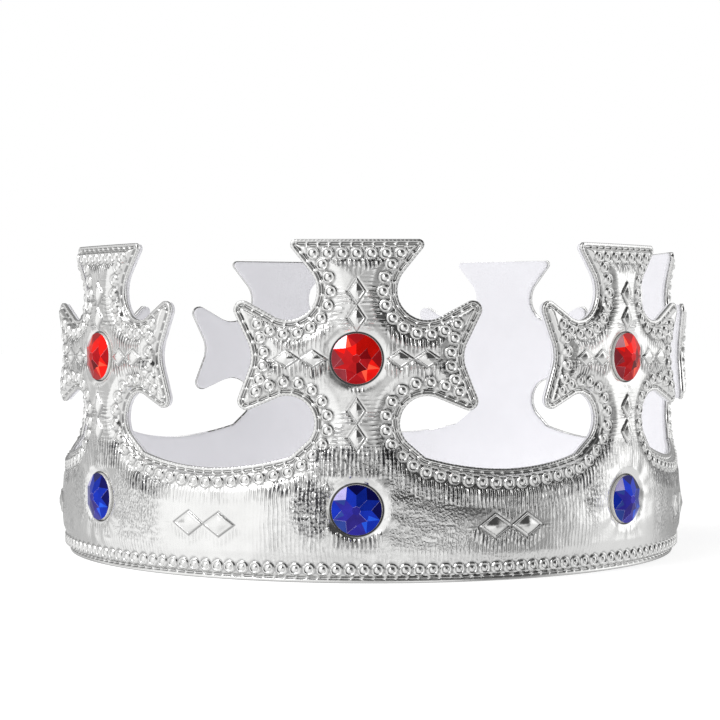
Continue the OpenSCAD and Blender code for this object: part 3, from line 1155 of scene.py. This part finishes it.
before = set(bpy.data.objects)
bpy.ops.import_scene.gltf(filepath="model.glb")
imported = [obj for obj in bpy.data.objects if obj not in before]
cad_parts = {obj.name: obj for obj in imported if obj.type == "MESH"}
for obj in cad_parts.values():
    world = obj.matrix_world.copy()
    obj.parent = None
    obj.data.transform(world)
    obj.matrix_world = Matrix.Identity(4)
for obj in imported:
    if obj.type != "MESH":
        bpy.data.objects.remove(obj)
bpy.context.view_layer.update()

edges = Edges()
beads, bead_line = bead_centres(edges)
bead_tree = tree_of(both_sides(beads))

silver = silver_material()
pale = backing_material("pale_backing", BACKING_TINT)
patch_pale = backing_material("pale_patch", PATCH_TINT)

# Silver cover
front_top, front_bottom, front = half_pattern(edges, beads)
back = coarse_back(front_top, front_bottom, BACK_GRID)
shell = Shell(front, back, base_height(front[0]), -COVER_FOLD, -RIM_T)
folded = column_stack([np.abs(shell.pts[:, 0]), shell.pts[:, 1]])
face_d = edges.measure(folded)[0]
measured = (face_d, *stone_distance(folded), diamond_share(folded))
on_front = np.arange(len(shell.pts)) < shell.front_points
creases = [part * on_front for part in crease_strength(folded, shell.pts[:, 0], face_d)]
# Painted shade that darkens the front of the cover in its crevices
face_painted_shade = np.zeros(len(shell.pts))
face_painted_shade[:shell.front_points] = doubled(painted_crevice_shade(front[0]), front[0])


def cover_height(around):
    """Height of the cover's points, with the wrinkles of that place."""
    return shell.h + unit_wrinkles(shell.pts, around, measured) * on_front


def cover_values(around):
    """How strong the creases of the cover's points are, the painted shade in their crevices, and their
    flow.
    """
    z = shell.pts[:, 1]
    patchy = 0.55 + 1.1 * np.clip(noise(around / 7, z / 7, 5) + 0.25, 0, 0.8)
    keep = calmed(around, z)
    tall, level, grain = (part * keep for part in creases)
    values = {"tall": tall * patchy, "level": level * patchy, "grain": grain, "hollow": face_painted_shade}
    flow = [v + 0.5 * noise(around / 6, z / 6, seed) for v, seed in ((around, 8), (z, 9))]
    return values, column_stack(flow)


for cover in build_units("cover", shell, cover_height, [silver], cover_values):
    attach(cover, "root")
    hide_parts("cover")

# Pale backing
inner_top = half_outline(BACKING_STEP, BACKING_TRIM)
inner_bottom = resample(np.array([[0.0, BACKING_TRIM], [HALF_BAY, BACKING_TRIM]]), BACKING_STEP)
inner = coarse_back(inner_top, inner_bottom, BACKING_GRID)
outer_h = BACKING_OUT - RIM_R
backing = Shell(inner, inner, np.full(len(inner[0]), outer_h), outer_h - BACKING_FOLD, BACKING_IN - RIM_R)
for sheet in build_units(
        "backing", backing, lambda around: backing.h, [pale],
        lambda around: ({}, column_stack([around, backing.pts[:, 1]]))):
    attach(sheet, "root")
    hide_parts("backing")

# Closure patch inside the rear bay
flat, patch_faces = patch_points()
middle_r = BACKING_IN - PATCH_GAP - PATCH_T / 2
patch_r = middle_r + flat[:, 2]
turn = flat[:, 0] / middle_r
bent = column_stack([patch_r * np.sin(turn), -patch_r * np.cos(turn), PATCH_Z + PATCH_H / 2 + flat[:, 1]])
patch = make_mesh("closure_patch_felt", turned(bent, rear_angle()), patch_faces, [patch_pale])
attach(patch, "root")
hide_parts("closure_patch")

# Cut stones, with painted light, shade, glints and glow on their facets
# The stones' foil also glows faintly with painted light
foil = facet_material("stone_foil", FOIL_TINT, metallic=0.4, roughness=0.3)
for colour, tones, places, height, pad_r in (
        ("red", RED_PAINTED_LIGHT_TONES, RED_PLACES, RED_Z, RIM_R + PAD_T + STEP_OUT),
        ("blue", BLUE_PAINTED_LIGHT_TONES, BLUE_PLACES, BLUE_Z, RIM_R + PAD_T)):
    order = [*tones, "foil"]
    slots = [facet_material(f"{colour}_{tone}", tones[tone]) for tone in tones] + [foil]
    for number in range(1, CROSSES + 1):
        stone = build_stone(f"{colour}_gem_{number}", number, height, pad_r, slots, order, places)
        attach(stone, "root")
        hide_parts(f"{colour}_stone_{number}")

# Floor
far = FLOOR_REACH
floor_mesh = bpy.data.meshes.new("floor")
floor_mesh.from_pydata([(-far, -far, 0), (far, -far, 0), (far, far, 0), (-far, far, 0)], [], [(0, 1, 2, 3)])
floor_mesh.materials.append(new_material("floor_white", {
    "Base Color": (0.5, 0.5, 0.5, 1), "Roughness": 0.9, "Specular IOR Level": 0.1,
    "Emission Color": (1, 1, 1, 1), "Emission Strength": FLOOR_GLOW})[0])
floor = new_object("floor", floor_mesh)
floor.visible_glossy = False  # the foil mirrors the soft panels below instead

# Studio light
world = bpy.data.worlds.new("studio")
bpy.context.scene.world = world
world.use_nodes = True
nodes = Nodes(world.node_tree)
background = world.node_tree.nodes["Background"]
background.inputs["Color"].default_value = (1, 1, 1, 1)
place = nodes.add("ShaderNodeTexCoord")
level = None
for azimuth, up, whole_angle, full_angle, change in PANELS:
    a, e = radians(azimuth), radians(up)
    towards = (sin(a) * cos(e), -cos(a) * cos(e), sin(e))
    dot = nodes.add("ShaderNodeVectorMath", {1: towards}, operation="DOT_PRODUCT")
    nodes.join(place, "Generated", dot, 0)
    room = ROOM_LEVEL if level is None else 1.0
    limits = [cos(radians(angle)) for angle in (whole_angle, full_angle)]
    panel = nodes.add(
        "ShaderNodeMapRange",
        {"From Min": limits[0], "From Max": limits[1], "To Min": room, "To Max": change * room},
        interpolation_type="SMOOTHSTEP")
    nodes.join(dot, "Value", panel, "Value")
    level = panel if level is None else nodes.combine("MULTIPLY", level, 0, panel, 0)
seen = nodes.add("ShaderNodeLightPath")
pick = nodes.combine("MAXIMUM", level, 0, seen, "Is Camera Ray")
nodes.join(pick, "Value", background, "Strength")

for name, size, energy, spread, place, aim in LAMPS:
    lamp = bpy.data.lights.new(name, "AREA")
    lamp.shape = "DISK"
    lamp.size = size
    lamp.energy = energy
    lamp.spread = radians(spread)
    held = new_object(name, lamp)
    held.location = place
    held.rotation_euler = (Vector(aim) - held.location).to_track_quat("-Z", "Y").to_euler()
    held.visible_camera = False

# Camera at the photograph's place
camera = bpy.data.cameras.new("camera")
camera.sensor_width = 36
camera.lens = LENS
camera.clip_start = 0.05
camera.clip_end = 50
eye = new_object("camera", camera)
eye.location = EYE
eye.rotation_euler = (pi / 2 - radians(EYE_DOWN), 0, radians(EYE_TURN))
bpy.context.scene.camera = eye
bpy.context.scene.view_settings.view_transform = "Standard"
